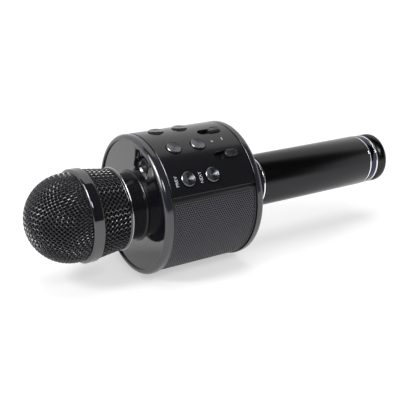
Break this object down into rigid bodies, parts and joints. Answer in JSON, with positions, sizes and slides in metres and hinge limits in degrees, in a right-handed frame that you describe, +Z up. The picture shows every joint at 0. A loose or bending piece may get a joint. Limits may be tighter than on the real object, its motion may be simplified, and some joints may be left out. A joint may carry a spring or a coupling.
{
  "type": "karaoke microphone",
  "caption": "Hand-held wireless karaoke microphone: round wire grille head, round speaker barrel with buttons and sliders, and a slim tube handle.",
  "frame": {"origin": "under the middle of the microphone, on the surface that the barrel rests on", "axes": "+X along the microphone from grille head to handle end, +Z up"},
  "size_m": [0.246, 0.08, 0.0809],
  "materials": {
    "woven_wire": "black coated wire mesh",
    "gloss_black": "gloss",
    "panel_black": "high gloss",
    "base_ring": "gloss black with a bright edge",
    "foam": "open foam",
    "capsule": "satin",
    "soft_rubber": "matt",
    "rim": "dark chrome gloss",
    "jack": "satin",
    "chassis": "moulded",
    "button": "spun, dark",
    "knob": "satin",
    "speaker_mesh": "perforated, satin black",
    "board": "solder mask",
    "switch": "satin",
    "basket": "satin",
    "cone": "paper",
    "magnet": "plain",
    "radiator": "matt",
    "steel": "satin",
    "bright": "diamond cut",
    "handle": "satin black anodised",
    "tail_band": "gloss black anodised",
    "insert": "moulded",
    "cell": "wrapped cell"
  },
  "bodies": {
    "microphone": {"capsule_mount": "soft_rubber", "mic_capsule": "capsule", "neck": "gloss_black", "front_dish": "gloss_black", "jack_socket": "jack", "front_rim": "rim", "rear_rim": "rim", "chassis": "chassis", "speaker_mesh": "speaker_mesh", "control_panel": "panel_black", "key_board": "board", "dome_switches": "switch", "slide_pots": "switch", "main_board": "board", "bass_radiator": "radiator", "rear_cap": "gloss_black", "charge_socket": "steel", "front_dish_screws": "steel", "rear_cap_screws": "steel", "handle_front_ring": "bright", "tail_ring_inner": "bright", "tail_ring_outer": "bright", "handle_tube": "handle", "tail_band": "tail_band", "tail_insert": "insert", "battery_contact": "steel", "battery_cell": "cell", "battery_sleeve": "insert", "speaker_frame_front": "basket", "speaker_cone_front": "cone", "speaker_magnet_front": "magnet", "speaker_frame_back": "basket", "speaker_cone_back": "cone", "speaker_magnet_back": "magnet"},
    "grille_head": {"grille_dome": "woven_wire", "grille_band": "gloss_black", "grille_skirt": "woven_wire", "grille_base_ring": "base_ring", "windscreen_foam": "foam"},
    "end_cap": {"end_cap": "handle", "battery_spring": "steel"},
    "button_a1": {"button_a1": "button"},
    "button_a2": {"button_a2": "button"},
    "button_b1": {"button_b1": "button"},
    "button_b2": {"button_b2": "button"},
    "button_c1": {"button_c1": "button"},
    "button_c2": {"button_c2": "button"},
    "slider_knob_a": {"slider_knob_a": "knob"},
    "slider_knob_b": {"slider_knob_b": "knob"}
  },
  "joints": [
    {"name": "grille_head_off", "type": "slide", "parent": "microphone", "child": "grille_head", "axis": [-1, 0, 0], "range_m": [0, 0.04]},
    {"name": "end_cap_off", "type": "slide", "parent": "microphone", "child": "end_cap", "axis": [1, 0, 0], "range_m": [0, 0.014]},
    {"name": "button_a1_press", "type": "slide", "parent": "microphone", "child": "button_a1", "axis": [0, -0.007, -1], "range_m": [0, 0.0005], "stiffness_N_per_m": 400, "springref_m": -0.0006},
    {"name": "button_a2_press", "type": "slide", "parent": "microphone", "child": "button_a2", "axis": [0, -0.007, -1], "range_m": [0, 0.0005], "stiffness_N_per_m": 400, "springref_m": -0.0006},
    {"name": "button_b1_press", "type": "slide", "parent": "microphone", "child": "button_b1", "axis": [0, 0.4787, -0.878], "range_m": [0, 0.0005], "stiffness_N_per_m": 400, "springref_m": -0.0006},
    {"name": "button_b2_press", "type": "slide", "parent": "microphone", "child": "button_b2", "axis": [0, 0.4787, -0.878], "range_m": [0, 0.0005], "stiffness_N_per_m": 400, "springref_m": -0.0006},
    {"name": "button_c1_press", "type": "slide", "parent": "microphone", "child": "button_c1", "axis": [0, 0.8443, -0.5358], "range_m": [0, 0.0005], "stiffness_N_per_m": 400, "springref_m": -0.0006},
    {"name": "button_c2_press", "type": "slide", "parent": "microphone", "child": "button_c2", "axis": [0, 0.8443, -0.5358], "range_m": [0, 0.0005], "stiffness_N_per_m": 400, "springref_m": -0.0006},
    {"name": "slider_a", "type": "slide", "parent": "microphone", "child": "slider_knob_a", "axis": [-1, 0, 0], "range_m": [0, 0.0062]},
    {"name": "slider_b", "type": "slide", "parent": "microphone", "child": "slider_knob_b", "axis": [-1, 0, 0], "range_m": [0, 0.0062]}
  ]
}
